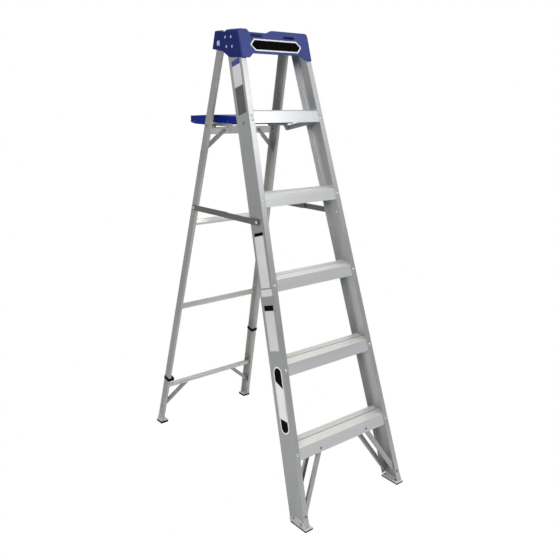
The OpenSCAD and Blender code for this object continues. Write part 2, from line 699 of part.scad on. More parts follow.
// ---- Braces: U channels with flat riveted ends ----
// A channel from point a to point b in a plane of constant n: web from n0 to n0 + t, legs towards +n when
// dir is 1 and towards -n when dir is -1.
module brace_channel(a, b, n0, dir, depth = brace_d) {
    length = norm(b - a);
    d = dir * brace_t;
    translate([a[0], n0, a[1]]) rotate([0, -atan2(b[1] - a[1], b[0] - a[0]), 0])
        translate([0, 0, -brace_w / 2]) rotate([90, 0, 90]) linear_extrude(length)
            polygon([[0, 0], [0, brace_w], [dir * depth, brace_w], [dir * depth, brace_w - brace_t],
                [d, brace_w - brace_t], [d, brace_t], [dir * depth, brace_t], [dir * depth, 0]]);
}
brace_top_s = step_s(1, rail_t) - skirt_h * 0.72;
brace_foot_s = 50;
brace_foot_in = 12;
brace_top = [brace_top_x, brace_top_s];
brace_foot = [web_x(brace_foot_s) - brace_foot_in, brace_foot_s];
module brace(side, back) {
    n0 = back ? rail_d - rail_t - step_t : rail_t + step_t;
    dir = back ? -1 : 1;
    aim = (brace_foot - brace_top) / norm(brace_foot - brace_top);
    color(ALUMINIUM) difference() {
        intersection() {
            front_frame() mirror([side == LEFT ? 1 : 0, 0, 0]) union() {
                brace_channel(brace_top - 9 * aim, brace_foot + 9 * aim, n0, dir);
                // packing piece that fills the step's thickness at the flange
                translate([brace_foot[0], n0, brace_foot[1]]) rotate([dir * 90, 0, 0])
                    cylinder(d = brace_w * 0.7, h = step_t, $fn = ROUND);
            }
            between_front_webs(-rail_t / cos(front_batter));
        }
        brace_top_holes();
        brace_foot_holes();
    }
}
module front_brace_left() { brace(LEFT, false); }
module front_brace_right() { brace(RIGHT, false); }
module back_brace_left() { brace(LEFT, true); }
module back_brace_right() { brace(RIGHT, true); }
// Brace rivets pass through the step's skirts at the top and the rails' flanges at the foot.
module brace_top_places() {
    for (side = [LEFT, RIGHT]) {
        front_frame() translate([side * brace_top[0], rail_t, brace_top[1]]) rotate([90, 0, 0]) children();
        front_frame() translate([side * brace_top[0], rail_d - rail_t, brace_top[1]])
            rotate([-90, 0, 0]) children();
    }
}
module brace_foot_places() {
    for (side = [LEFT, RIGHT]) {
        front_frame() translate([side * brace_foot[0], 0, brace_foot[1]]) rotate([90, 0, 0]) children();
        front_frame() translate([side * brace_foot[0], rail_d, brace_foot[1]]) rotate([-90, 0, 0]) children();
    }
}
module brace_top_holes() { brace_top_places() rivet_hole(step_t + brace_t); }
module brace_foot_holes() { brace_foot_places() rivet_hole(rail_t + step_t + brace_t); }
module brace_rivets() {
    color(STEEL) {
        brace_top_places() rivet(rivet_dia, rivet_head_dia, rivet_head_h, step_t + brace_t);
        brace_foot_places() rivet(rivet_dia, rivet_head_dia, rivet_head_h, rail_t + step_t + brace_t);
    }
}

// Knee braces of the rear section
knee_d = top_bar_d + brace_t;
knee_n = flange_n - knee_d;
knee_top = [knee_top_x, -bar_drops[0]];
knee_foot = [rear_web_x(bar_drops[0] + knee_drop) - rear_t, -bar_drops[0] - knee_drop];
low_knee_n = flange_n - bottom_bar_dia / 2 - brace_d / 2;
low_knee_top = [low_knee_top_x, -bottom_bar_drop - bottom_bar_dia / 2];
low_knee_foot = [rear_web_x(bottom_bar_drop + low_knee_drop) - rear_t, -bottom_bar_drop - low_knee_drop];
// Foot plate against the rail's web, which trims its outer face, and the rivet that holds it
knee_plate_h = 30;
knee_plate_short = 0.4;
module knee_foot_plate(foot, n0, depth) {
    translate([foot[0], n0, foot[1]]) rotate([0, -rear_batter, 0]) translate([-brace_t, 0, -knee_plate_h / 2])
        cube([brace_t + 1, depth - knee_plate_short, knee_plate_h]);
}
module knee_foot_places(side) {
    on_rear_web(side, knee_n + (knee_d + brace_t) / 2, -knee_foot[1]) children();
    on_rear_web(side, low_knee_n + brace_d / 2, -low_knee_foot[1]) children();
}
module knee_top_places() {
    for (side = [LEFT, RIGHT])
        rear_frame() translate([side * knee_top[0], knee_n, knee_top[1]]) rotate([90, 0, 0]) children();
}
module upper_knee(side) {
    aim = (knee_foot - knee_top) / norm(knee_foot - knee_top);
    start = knee_top + (top_bar_h / 2 / -aim[1] + brace_w * 0.7) * aim;
    tab_w = brace_w - 1;
    color(STEEL) difference() {
        intersection() {
            rear_frame() mirror([side == LEFT ? 1 : 0, 0, 0]) union() {
                brace_channel(start, knee_foot + 20 * aim, knee_n, 1, knee_d);
                // flat tab on the top bar's face
                translate([knee_top[0], knee_n, knee_top[1]]) rotate([0, -atan2(aim[1], aim[0]), 0])
                    translate([0, 0, -tab_w / 2]) cube([norm(start - knee_top) + 1, brace_t, tab_w]);
                translate([knee_top[0], knee_n + brace_t, knee_top[1]]) rotate([90, 0, 0])
                    cylinder(d = tab_w, h = brace_t, $fn = ROUND);
                knee_foot_plate(knee_foot, knee_n, knee_d);
            }
            between_rear_webs(-rear_t / cos(rear_batter));
        }
        knee_top_places() rivet_hole(brace_t + bar_wall, knee_rivet_dia);
        knee_foot_places(side) rivet_hole(rear_t + brace_t, knee_rivet_dia);
    }
}
module lower_knee(side) {
    aim = (low_knee_foot - low_knee_top) / norm(low_knee_foot - low_knee_top);
    color(STEEL) difference() {
        intersection() {
            rear_frame() mirror([side == LEFT ? 1 : 0, 0, 0]) union() {
                brace_channel(low_knee_top - 12 * aim, low_knee_foot + 20 * aim, low_knee_n, 1);
                knee_foot_plate(low_knee_foot, low_knee_n, brace_d);
            }
            between_rear_webs(-rear_t / cos(rear_batter));
        }
        // seat under the bottom bar
        rear_frame() translate([0, flange_n - bottom_bar_dia / 2, -bottom_bar_drop]) rotate([0, 90, 0])
            translate([0, 0, -base_w])
                cylinder(d = bottom_bar_dia + 2 * hole_play, h = 2 * base_w, $fn = ROUND);
        rear_frame() translate([-base_w, -rear_d, -bottom_bar_drop])
            cube([2 * base_w, 2 * rear_d, low_knee_drop]);
        knee_foot_places(side) rivet_hole(rear_t + brace_t, knee_rivet_dia);
    }
}
module upper_knee_left() { upper_knee(LEFT); }
module upper_knee_right() { upper_knee(RIGHT); }
module lower_knee_left() { lower_knee(LEFT); }
module lower_knee_right() { lower_knee(RIGHT); }
module knee_rivets() {
    color(STEEL) {
        knee_top_places() rivet(knee_rivet_dia, knee_rivet_head, rivet_head_h, brace_t + bar_wall);
        for (side = [LEFT, RIGHT])
            knee_foot_places(side) rivet(knee_rivet_dia, knee_rivet_head, rivet_head_h, rear_t + brace_t);
    }
}

// Black bands round the rear rails
band_h = 14;
band_t = 1.6;
band_gap = 0.2;
band_drops = [1480, 1322];
module rail_bands() {
    color(RUBBER) for (k = [0, 1]) {
        side = k == 0 ? LEFT : RIGHT;
        drop = band_drops[k];
        d = rear_d / 2 + band_gap;
        out = band_t + band_gap;
        rear_frame() rear_web(side) translate([0, 0, -drop]) mirror([side == RIGHT ? 1 : 0, 0, 0])
            linear_extrude(band_h) difference() {
                translate([-out, -d - band_t]) square([rear_flange_w + 2 * out, 2 * (d + band_t)]);
                translate([-band_gap, -d]) square([rear_flange_w + 2 * band_gap, 2 * d]);
            }
    }
}

// ---- Feet ----
shoe_in = 34;
leaf_n = rail_d * 0.62;
leaf_r = 64;
module front_shoe(side) {
    y1 = front_y(rail_d, 0) + sole_lip;
    x1 = base_w / 2 + shoe_t;
    color(ALUMINIUM) difference() {
        union() {
            place() translate([side == RIGHT ? x1 - shoe_in - 2 : -x1, -sole_lip, sole_t])
                cube([shoe_in + 2, y1 + sole_lip, shoe_t]);
            // side leaf with an arched top, on the web's outer face
            intersection() {
                on_front_web(side, leaf_n, front_s(shoe_h + 4 - leaf_r, leaf_n))
                    cylinder(r = leaf_r, h = shoe_t, $fn = 2 * ROUND);
                above(sole_t);
                front_frame() translate([-base_w, 0, -rail_d]) cube([2 * base_w, rail_d, 2 * leaf_r]);
            }
        }
        shoe_rivet_places(side) rivet_hole(shoe_t + rail_t);
        sole_rivet_places(side) rivet_hole(shoe_t);
    }
}
// Two more rivets a side hold the sole under the shoe. Their tails lie in recesses in the sole's underside.
sole_rivet_in = 20.5;
sole_rivet_ys = [15, rail_d - 8];
sole_recess = 2;
module sole_rivet_places(side) {
    for (y = sole_rivet_ys)
        place() translate([side * (base_w / 2 - sole_rivet_in), y, shoe_top]) children();
}
shoe_rivets = [[rail_d * 0.7, shoe_h - 7], [rail_d * 0.2, shoe_h - 11]];
module shoe_rivet_places(side) {
    for (p = shoe_rivets)
        on_front_web(side, p[0], front_s(p[1], p[0])) translate([0, 0, shoe_t]) children();
}
module front_shoe_left() { front_shoe(LEFT); }
module front_shoe_right() { front_shoe(RIGHT); }
module front_shoe_rivets() {
    color(STEEL) for (side = [LEFT, RIGHT]) {
        shoe_rivet_places(side) rivet(rivet_dia, rivet_head_dia, rivet_head_h, shoe_t + rail_t);
        sole_rivet_places(side) rivet(rivet_dia, rivet_head_dia, rivet_head_h, shoe_top - sole_recess);
    }
}
module front_sole(side) {
    y1 = front_y(rail_d, 0) + sole_lip;
    x1 = base_w / 2 + shoe_t;
    color(RUBBER) difference() {
        place() translate([side == RIGHT ? x1 - shoe_in - 2 : -x1, -sole_lip, 0]) difference() {
            cube([shoe_in + 2, y1 + sole_lip, sole_t]);
            for (y = [8:9:y1])
                translate([-1, y, -1]) cube([shoe_in + 4, 3, 2.5]);
        }
        sole_rivet_places(side) rivet_hole(shoe_top);
        sole_rivet_places(side) translate([0, 0, -shoe_top - 1])
            cylinder(d = rivet_head_dia, h = 1 + sole_recess, $fn = ROUND);
    }
}
module front_sole_left() { front_sole(LEFT); }
module front_sole_right() { front_sole(RIGHT); }
rear_foot_drop = leg_len - rear_shoe_top / cos(rear_lean);
module rear_shoe_rivet_places(side) {
    on_rear_web(side, 0, rear_foot_drop - 20) translate([0, 0, shoe_t]) children();
}
rear_foot_y = rear_y(-rear_d / 2, leg_len) - sole_lip;
rear_shoe_x = rear_base_w / 2 + shoe_t;
rear_shoe_in = 36;
function rear_shoe_x0(side) = side == RIGHT ? rear_shoe_x - rear_shoe_in : -rear_shoe_x;
module rear_shoe(side) {
    color(ALUMINIUM) difference() {
        union() {
            place() translate([rear_shoe_x0(side), rear_foot_y, rear_sole_t])
                cube([rear_shoe_in, rear_edge - rear_foot_y, shoe_t]);
            intersection() {
                on_rear_web(side, 0, rear_foot_drop - 12) cylinder(d = shoe_h * 1.3, h = shoe_t, $fn = ROUND);
                above(rear_sole_t);
                rear_frame() translate([-base_w, -rear_d / 2, -leg_len - rear_d])
                    cube([2 * base_w, rear_d, leaf_r * 2]);
            }
        }
        rear_shoe_rivet_places(side) rivet_hole(shoe_t + rear_t);
    }
}
module rear_shoe_left() { rear_shoe(LEFT); }
module rear_shoe_right() { rear_shoe(RIGHT); }
module rear_shoe_rivets() {
    color(STEEL) for (side = [LEFT, RIGHT])
        rear_shoe_rivet_places(side) rivet(rivet_dia, rivet_head_dia, rivet_head_h, shoe_t + rear_t);
}
module rear_sole(side) {
    color(RUBBER) place() translate([rear_shoe_x0(side), rear_foot_y, 0])
        difference() {
            cube([rear_shoe_in, rear_edge - rear_foot_y, rear_sole_t]);
            for (y = [6:8:rear_edge - rear_foot_y - 4])
                translate([-1, y, -1]) cube([rear_shoe_in + 2, 3, 2.5]);
        }
}
module rear_sole_left() { rear_sole(LEFT); }
module rear_sole_right() { rear_sole(RIGHT); }

// ---- Pail shelf ----
// The shelf turns on pins in the rear rails. Two arms hold its front edge up from the front rails, and its
// brackets meet them in a joint below its edge. Folded, the shelf stands between the rear rails.
shelf_w = 2 * (rear_web_x(shelf_pivot_drop) - shelf_side_gap);
arm_pivot_s = pivot_s - arm_pivot_drop;
shelf_y = rear_y(shelf_pivot_n, shelf_pivot_drop);
shelf_z = rear_z(shelf_pivot_n, shelf_pivot_drop);
arm_n = rail_d / 2;
arm_y = front_y(arm_n, arm_pivot_s);
arm_z = front_z(arm_n, arm_pivot_s);
// Place of the arm's joint on the bracket, such that the arm fits both the open and the folded shelf
open_dy = shelf_y - arm_y;
open_dz = shelf_z - arm_drop - arm_z;
shut_dn = pivot_n + shelf_pivot_n + arm_drop - arm_n;
shut_ds = pivot_s - shelf_pivot_drop - arm_pivot_s;
joint_b = (pow(open_dy, 2) + pow(open_dz, 2) - pow(shut_ds, 2) - pow(shut_dn, 2)) / (2 * (open_dy - shut_ds));
arm_len = norm([open_dy - joint_b, open_dz]);
bracket_x = shelf_w / 2 - shelf_wall - arm_t;
arm_x = shelf_w / 2 + 0.5;
module shelf_place() { place() translate([0, shelf_y, shelf_z]) children(); }
module shelf_axis(side) {
    place() translate([side * (rear_web_x(shelf_pivot_drop) + axial_play), shelf_y, shelf_z])
        rotate([0, side * 90, 0])
        children();
}
module arm_axis(side) {
    place() translate([side * (web_x(arm_pivot_s) + axial_play), arm_y, arm_z])
        rotate([0, side * 90, 0]) children();
}
// A pin along an axis: head outside the web, sleeve up to the inner piece, and a tail head behind that piece
module stand_off_pin(web_out, wall, piece_x) {
    inner = web_out - piece_x - arm_t;
    sleeve = shelf_pin_dia + 5;
    intersection() {
        translate([0, 0, 2.4 - 2 * shelf_pin_dia]) sphere(d = 4 * shelf_pin_dia, $fn = ROUND);
        cylinder(d = shelf_pin_dia * 1.7, h = 2.4, $fn = ROUND);
    }
    translate([0, 0, -inner - arm_t - 2 * axial_play])
        cylinder(d = shelf_pin_dia, h = inner + arm_t + 2 * axial_play, $fn = ROUND);
    translate([0, 0, -inner]) cylinder(d = sleeve, h = inner - wall - 1.4, $fn = ROUND);
    translate([0, 0, -inner - arm_t - 2 * axial_play - 2])
        cylinder(d = shelf_pin_dia * 1.6, h = 2, $fn = ROUND);
}
module arm_pins() {
    color(STEEL) for (side = [LEFT, RIGHT])
        arm_axis(side) stand_off_pin(web_x(arm_pivot_s), rail_t, arm_x);
}
module shelf_pins() {
    color(STEEL) for (side = [LEFT, RIGHT])
        shelf_axis(side) stand_off_pin(rear_web_x(shelf_pivot_drop), rear_t, bracket_x);
}
// Side outline of the shelf: y runs to the rear from the pivot and z up from it
deep_start = 30;
pail_d = 150;
rim_z = shelf_rise + shelf_h;
deep_z = rim_z - shelf_deep;
function rim(y) = y < 0 ? rim_z : rim_z - shelf_fall * y / shelf_back;
well_depth = 8;
function roof(y) = rim(y) - well_depth - shelf_wall;
module shelf_prism(points, half) {
    shelf_place() translate([-half, 0, 0]) rotate([90, 0, 90]) linear_extrude(2 * half) polygon(points);
}
corner_cut = 28;
shelf_reach = shelf_front + shelf_back;
shelf_rib_t = 3;
module shelf_body(grow) {
    end = shelf_back + grow;
    start = -shelf_front - grow;
    half = shelf_w / 2 + grow;
    intersection() {
        shelf_prism([[start, shelf_rise], [deep_start - grow, shelf_rise], [deep_start + 8 - grow, deep_z],
            [end - 60, deep_z], [end, deep_z + 9], [end, rim(end)], [0, rim_z], [start + 14, rim_z],
            [start, rim_z - 6]], half);
        shelf_place() translate([0, 0, -shelf_reach]) linear_extrude(2 * shelf_reach)
            polygon([[-half, start + corner_cut / 2],
            [-half + corner_cut / 2, start], [half - corner_cut / 2, start], [half, start + corner_cut / 2],
            [half, end - corner_cut], [half - corner_cut, end], [-half + corner_cut, end],
            [-half, end - corner_cut]]);
    }
}
module shelf_tray() {
    rim_w = 14;
    half = shelf_w / 2;
    color(CAP_BLUE) difference() {
        shelf_body(0);
        // hollow underside
        difference() {
            intersection() {
                shelf_body(-shelf_wall);
                shelf_prism([[-shelf_reach, -shelf_reach], [shelf_reach, -shelf_reach],
                    [shelf_reach, roof(shelf_reach)], [0, roof(0)], [-shelf_reach, roof(0)]], shelf_reach);
            }
            for (x = [-half / 2, 0, half / 2])
                shelf_place() translate([x - shelf_rib_t / 2, -shelf_reach, -shelf_reach])
                    cube([shelf_rib_t, 2 * shelf_reach, 2 * shelf_reach]);
        }
        shelf_prism([[-shelf_front + shelf_wall, shelf_rise - 5], [deep_start - shelf_wall, shelf_rise - 5],
            [deep_start - shelf_wall, shelf_rise + 6], [-shelf_front + shelf_wall, shelf_rise + 6]],
            half - shelf_wall);
        shelf_prism([[deep_start + 8, deep_z - 5], [shelf_back - 60, deep_z - 5],
            [shelf_back - 60, deep_z + 6],
            [deep_start + 8, deep_z + 6]], half - shelf_wall);
        // slots for the brackets in the wall behind the top rear bar
        for (side = [LEFT, RIGHT])
            shelf_place() translate([side == RIGHT ? bracket_x - 0.5 : -bracket_x - arm_t,
                deep_start - 5, deep_z - 1])
                cube([arm_t + 0.5, 20, shelf_rise + 8 - deep_z]);
        // wells in the top: a wide one for a pail, and two for tools at the rear
        shelf_place() translate([0, -shelf_front / 2 + 10, rim_z - well_depth])
            cylinder(d = pail_d, h = 30, $fn = 96);
        for (side = [LEFT, RIGHT])
            translate([side * half / 2, 0, 0])
                shelf_prism([[deep_start + 16, rim(deep_start + 16) - well_depth],
                [shelf_back - 30, rim(shelf_back - 30) - well_depth], [shelf_back - 30, rim_z + 10],
                [deep_start + 16, rim_z + 10]], half / 2 - rim_w);
        // grooves along the sides
        for (side = [LEFT, RIGHT])
            shelf_place() translate([side == RIGHT ? half - 1.2 : -half - 1, -shelf_front + 20, rim_z - 14])
                cube([2.2, shelf_front + shelf_back - 60, 4]);
        shelf_rivet_places() rivet_hole(shelf_wall + arm_t);
    }
}
// Bracket inside each side of the shelf, hanging below its edge to the arm's joint
lug_r = 8;
bracket_foot = 0.5;
module shelf_bracket(side) {
    run = shelf_back - 40;
    color(STEEL) shelf_place() translate([side == RIGHT ? bracket_x : -bracket_x - arm_t, 0, 0])
        difference() {
        union() {
            rotate([90, 0, 90]) linear_extrude(arm_t) polygon([[-joint_b - lug_r, -arm_drop],
                [-joint_b - lug_r, roof(0)], [0, roof(0)], [run, roof(run)], [run, bracket_foot + 3],
                [deep_start + 20, bracket_foot], [-joint_b + lug_r + 10, bracket_foot],
                [-joint_b + lug_r, -arm_drop]]);
            rotate([0, 90, 0]) cylinder(r = lug_r - 1, h = arm_t, $fn = ROUND);
            translate([0, -joint_b, -arm_drop]) rotate([0, 90, 0])
                cylinder(r = lug_r, h = arm_t, $fn = ROUND);
        }
        translate([-1, 0, 0]) rotate([0, 90, 0]) cylinder(d = shelf_pin_dia + 2 * pin_play, h = arm_t + 2,
            $fn = ROUND);
        for (p = bracket_rivets)
            translate([-1, p[0], p[1]]) rotate([0, 90, 0])
                cylinder(d = rivet_dia + 2 * hole_play, h = arm_t + 2, $fn = ROUND);
    }
    // stud of the arm's joint, which stops short of the arm
    color(STEEL) shelf_place() translate([side * (shelf_w / 2 - shelf_wall), -joint_b, -arm_drop])
        rotate([0, side * 90, 0])
            cylinder(d = shelf_pin_dia + 4, h = shelf_wall + 0.5 - axial_play, $fn = ROUND);
}
bracket_rivet_front = 70;
bracket_rivet_back = 56;
bracket_rivets = [[-shelf_front + bracket_rivet_front, shelf_rise + 8], [0, shelf_rise + 8],
    [shelf_back - bracket_rivet_back, 8]];
module shelf_rivet_places() {
    for (side = [LEFT, RIGHT], p = bracket_rivets)
        shelf_place() translate([side * shelf_w / 2, p[0], p[1]]) rotate([0, side * 90, 0]) children();
}
module shelf_bracket_left() { shelf_bracket(LEFT); }
module shelf_bracket_right() { shelf_bracket(RIGHT); }
module shelf_rivets() {
    color(STEEL) shelf_rivet_places() rivet(rivet_dia, rivet_head_dia * 0.8, rivet_head_h * 0.15,
        shelf_wall + arm_t);
}
module shelf_arm(side) {
    aim = atan2(open_dz, open_dy - joint_b);
    color(STEEL) place() translate([side == RIGHT ? arm_x : -arm_x - arm_t, arm_y, arm_z]) rotate([aim, 0, 0])
        rotate([90, 0, 90]) flat_bar(arm_len, arm_w, arm_t, shelf_pin_dia + 2 * pin_play, 2);
    color(STEEL) place() translate([side * (arm_x + arm_t / 2), shelf_y - joint_b, shelf_z - arm_drop])
        rotate([0, side * 90, 0]) cylinder(d = 11, h = arm_t / 2 + 1.8, $fn = ROUND);
}
module shelf_arm_left() { shelf_arm(LEFT); }
module shelf_arm_right() { shelf_arm(RIGHT); }

front_rail_left();
front_rail_right();
top_cap();
badge_plate();
step_1();
step_2();
step_3();
step_4();
step_5();
step_rivets();
cap_rivets();
fold_pivots();
front_brace_left();
front_brace_right();
back_brace_left();
back_brace_right();
brace_rivets();
front_shoe_left();
front_shoe_right();
front_sole_left();
front_sole_right();
front_shoe_rivets();
spreader_front_pins();
arm_pins();
rear_rail_left();
rear_rail_right();
top_rear_bar();
second_rear_bar();
third_rear_bar();
bottom_rear_bar();
upper_knee_left();
upper_knee_right();
lower_knee_left();
lower_knee_right();
rear_bar_rivets();
knee_rivets();
rear_shoe_left();
rear_shoe_right();
rear_sole_left();
rear_sole_right();
rear_shoe_rivets();
rail_bands();
spreader_rear_pins();
shelf_pins();
spreader_front_bar_left();
spreader_front_bar_right();
spreader_rear_bar_left();
spreader_rear_bar_right();
shelf_tray();
shelf_bracket_left();
shelf_bracket_right();
shelf_rivets();
shelf_arm_left();
shelf_arm_right();
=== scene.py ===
"""Looks of the step ladder: materials, blank labels, lights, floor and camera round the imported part."""
import math

import bmesh
import bpy
from mathutils import Matrix, Vector


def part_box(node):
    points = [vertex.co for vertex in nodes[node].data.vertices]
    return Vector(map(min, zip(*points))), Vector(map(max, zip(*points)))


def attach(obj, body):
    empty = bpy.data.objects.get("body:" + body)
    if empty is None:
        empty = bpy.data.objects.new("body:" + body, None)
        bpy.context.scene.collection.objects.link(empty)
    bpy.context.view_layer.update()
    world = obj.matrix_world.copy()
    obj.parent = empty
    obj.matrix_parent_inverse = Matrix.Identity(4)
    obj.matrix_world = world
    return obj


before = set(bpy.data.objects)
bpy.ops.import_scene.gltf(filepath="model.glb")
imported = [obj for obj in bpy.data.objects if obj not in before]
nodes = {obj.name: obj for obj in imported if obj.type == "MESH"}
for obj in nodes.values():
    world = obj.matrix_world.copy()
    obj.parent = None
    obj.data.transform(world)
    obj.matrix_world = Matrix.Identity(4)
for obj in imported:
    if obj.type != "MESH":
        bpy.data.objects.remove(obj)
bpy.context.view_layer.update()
scene = bpy.context.scene

# The front section's lean and batter follow from the boxes of its steps and rail.
first_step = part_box("step_1")[0]
last_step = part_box("step_5")[0]
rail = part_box("front_rail_left")[0]
climb = last_step - first_step
lean = math.atan2(climb.y, climb.z)
batter = climb.x * math.cos(lean) / climb.z
half_base = -rail.x + batter * rail.z / math.cos(lean)
front_start = rail.y - rail.z * math.tan(lean)


# ---- node helpers ----
def new_material(name):
    mat = bpy.data.materials.new(name)
    mat.use_nodes = True
    tree = mat.node_tree
    tree.nodes.clear()
    out = tree.nodes.new("ShaderNodeOutputMaterial")
    bsdf = tree.nodes.new("ShaderNodeBsdfPrincipled")
    tree.links.new(bsdf.outputs[0], out.inputs[0])
    return mat, tree, bsdf


def coords(tree, scale):
    pos = tree.nodes.new("ShaderNodeTexCoord")
    mapping = tree.nodes.new("ShaderNodeMapping")
    mapping.inputs["Scale"].default_value = scale
    tree.links.new(pos.outputs["Object"], mapping.inputs["Vector"])
    return mapping.outputs[0]


def noise(tree, vector, scale, detail=4.0, rough=0.5):
    n = tree.nodes.new("ShaderNodeTexNoise")
    n.inputs["Scale"].default_value = scale
    n.inputs["Detail"].default_value = detail
    n.inputs["Roughness"].default_value = rough
    tree.links.new(vector, n.inputs["Vector"])
    return n.outputs["Fac"]


def ramp(tree, fac, stops):
    """Colour that goes through the given stops, each a place from 0 to 1 and a colour."""
    r = tree.nodes.new("ShaderNodeValToRGB")
    elements = r.color_ramp.elements
    for element, stop in ((elements[0], stops[0]), (elements[1], stops[-1])):
        element.position, element.color = stop
    for place, color in stops[1:-1]:
        elements.new(place).color = color
    tree.links.new(fac, r.inputs["Fac"])
    return r.outputs["Color"]


def remap(tree, fac, low, high):
    m = tree.nodes.new("ShaderNodeMapRange")
    m.inputs["To Min"].default_value = low
    m.inputs["To Max"].default_value = high
    tree.links.new(fac, m.inputs["Value"])
    return m.outputs["Result"]


def bump(tree, bsdf, height, strength, distance, edge):
    """Fine relief, over edges whose shading is rounded."""
    b = tree.nodes.new("ShaderNodeBump")
    rounding = tree.nodes.new("ShaderNodeBevel")
    rounding.samples = 6
    rounding.inputs["Radius"].default_value = edge
    tree.links.new(rounding.outputs[0], b.inputs["Normal"])
    b.inputs["Strength"].default_value = strength
    b.inputs["Distance"].default_value = distance
    tree.links.new(height, b.inputs["Height"])
    tree.links.new(b.outputs[0], bsdf.inputs["Normal"])


def grey(v, tint=(1.0, 1.0, 1.0)):
    return (v * tint[0], v * tint[1], v * tint[2], 1.0)


def math_node(tree, kind, *values):
    m = tree.nodes.new("ShaderNodeMath")
    m.operation = kind
    for socket, value in zip(m.inputs, values):
        if isinstance(value, (int, float)):
            socket.default_value = value
        else:
            tree.links.new(value, socket)
    return m.outputs[0]


def multiply(tree, color, level):
    product = tree.nodes.new("ShaderNodeVectorMath")
    product.operation = "MULTIPLY"
    tree.links.new(color, product.inputs[0])
    tree.links.new(level, product.inputs[1])
    return product.outputs[0]


def shade(level):
    """A level given as one number, or as one for each of red, green and blue."""
    return grey(1.0, level) if isinstance(level, tuple) else grey(level)


def painted_side_light(tree, color, inner, outer):
    """Painted light and shade by side: the tone goes from the faces turned towards the ladder's middle to
    those turned outwards.
    """
    geometry = tree.nodes.new("ShaderNodeNewGeometry")
    place = tree.nodes.new("ShaderNodeSeparateXYZ")
    facing = tree.nodes.new("ShaderNodeSeparateXYZ")
    tree.links.new(geometry.outputs["Position"], place.inputs[0])
    tree.links.new(geometry.outputs["Normal"], facing.inputs[0])
    outwards = math_node(tree, "MULTIPLY", math_node(tree, "SIGN", place.outputs[0]), facing.outputs[0])
    spread = math_node(tree, "MULTIPLY_ADD", outwards, 0.5, 0.5)
    level = ramp(tree, spread, [(0.1, shade(inner)), (0.5, grey(1.0)), (0.9, shade(outer))])
    return multiply(tree, color, level)


# Distance behind a tread's front edge that the levels below share out, and the place in it of the groove's
# painted shade
GROOVE_SPAN = 0.1
GROOVE_SHADE_LEVELS = [(0.0, grey(1.0)), (0.415, grey(1.0)), (0.425, grey(0.30)), (0.465, grey(0.30)),
                 (0.475, grey(0.94)), (1.0, grey(0.94))]
STEP_FRONT_TINT = (0.985, 1.0, 1.015, 1.0)
STEP_TOP_PAINTED_LIGHT = (1.33, 1.325, 1.26, 1.0)


def tread_groove_shade_and_top_light(tree, color):
    """Painted shade in a groove along each tread, the part behind it a shade greyer, and painted light that
    makes tops lighter than fronts.
    """
    place = tree.nodes.new("ShaderNodeTexCoord")
    parts = tree.nodes.new("ShaderNodeSeparateXYZ")
    tree.links.new(place.outputs["Object"], parts.inputs[0])
    slope = math.tan(lean)
    behind = math_node(tree, "MULTIPLY_ADD", parts.outputs[2], -slope, parts.outputs[1])
    behind = math_node(tree, "ADD", behind, first_step.z * slope - first_step.y)
    share = math_node(tree, "MULTIPLY", behind, 1.0 / GROOVE_SPAN)
    # Painted shade in the groove, as a dark band across the tread.
    level = ramp(tree, share, GROOVE_SHADE_LEVELS)
    geometry = tree.nodes.new("ShaderNodeNewGeometry")
    facing = tree.nodes.new("ShaderNodeSeparateXYZ")
    tree.links.new(geometry.outputs["Normal"], facing.inputs[0])
    # Painted light: tops lighter and warmer than fronts.
    top = ramp(tree, facing.outputs[2], [(0.4, STEP_FRONT_TINT), (0.8, STEP_TOP_PAINTED_LIGHT)])
    return multiply(tree, multiply(tree, color, level), top)


EVEN = (1.0, 1.0, 1.0)
STREAK_SHARE = 0.55


def metal(name, low, high, rough, metallic, streak, tint=EVEN, side_light_levels=(1.0, 1.0), groove=False):
    """Mill-finish metal: colour and roughness vary in fine streaks along one direction."""
    mat, tree, bsdf = new_material(name)
    fine = noise(tree, coords(tree, streak), 60.0, 6.0, 0.6)
    broad = noise(tree, coords(tree, EVEN), 5.0, 3.0, 0.5)
    rest = math_node(tree, "MULTIPLY", broad, 1.0 - STREAK_SHARE)
    mix = math_node(tree, "MULTIPLY_ADD", fine, STREAK_SHARE, rest)
    color = ramp(tree, mix, [(0.3, grey(low, tint)), (0.7, grey(high, tint))])
    if groove:
        color = tread_groove_shade_and_top_light(tree, color)
    tree.links.new(painted_side_light(tree, color, *side_light_levels), bsdf.inputs["Base Color"])
    tree.links.new(remap(tree, fine, rough - 0.06, rough + 0.08), bsdf.inputs["Roughness"])
    bsdf.inputs["Metallic"].default_value = metallic
    bump(tree, bsdf, fine, 0.05, 0.0004, 0.0008)
    return mat


def plastic(name, low, high, rough, grain=380.0, bump_strength=0.12, shine=0.5, side_light_levels=(1.0, 1.0), edge=0.001):
    """Plastic, rubber or paper: a broad shift between two colours, under a fine grain."""
    mat, tree, bsdf = new_material(name)
    bsdf.inputs["Specular IOR Level"].default_value = shine
    place = coords(tree, EVEN)
    fine = noise(tree, place, grain, 3.0, 0.5)
    broad = noise(tree, place, 9.0, 4.0, 0.5)
    color = ramp(tree, broad, [(0.3, low + (1.0,)), (0.7, high + (1.0,))])
    tree.links.new(painted_side_light(tree, color, *side_light_levels), bsdf.inputs["Base Color"])
    tree.links.new(remap(tree, fine, rough - 0.05, rough + 0.06), bsdf.inputs["Roughness"])
    bump(tree, bsdf, fine, bump_strength, 0.0003, edge)
    return mat


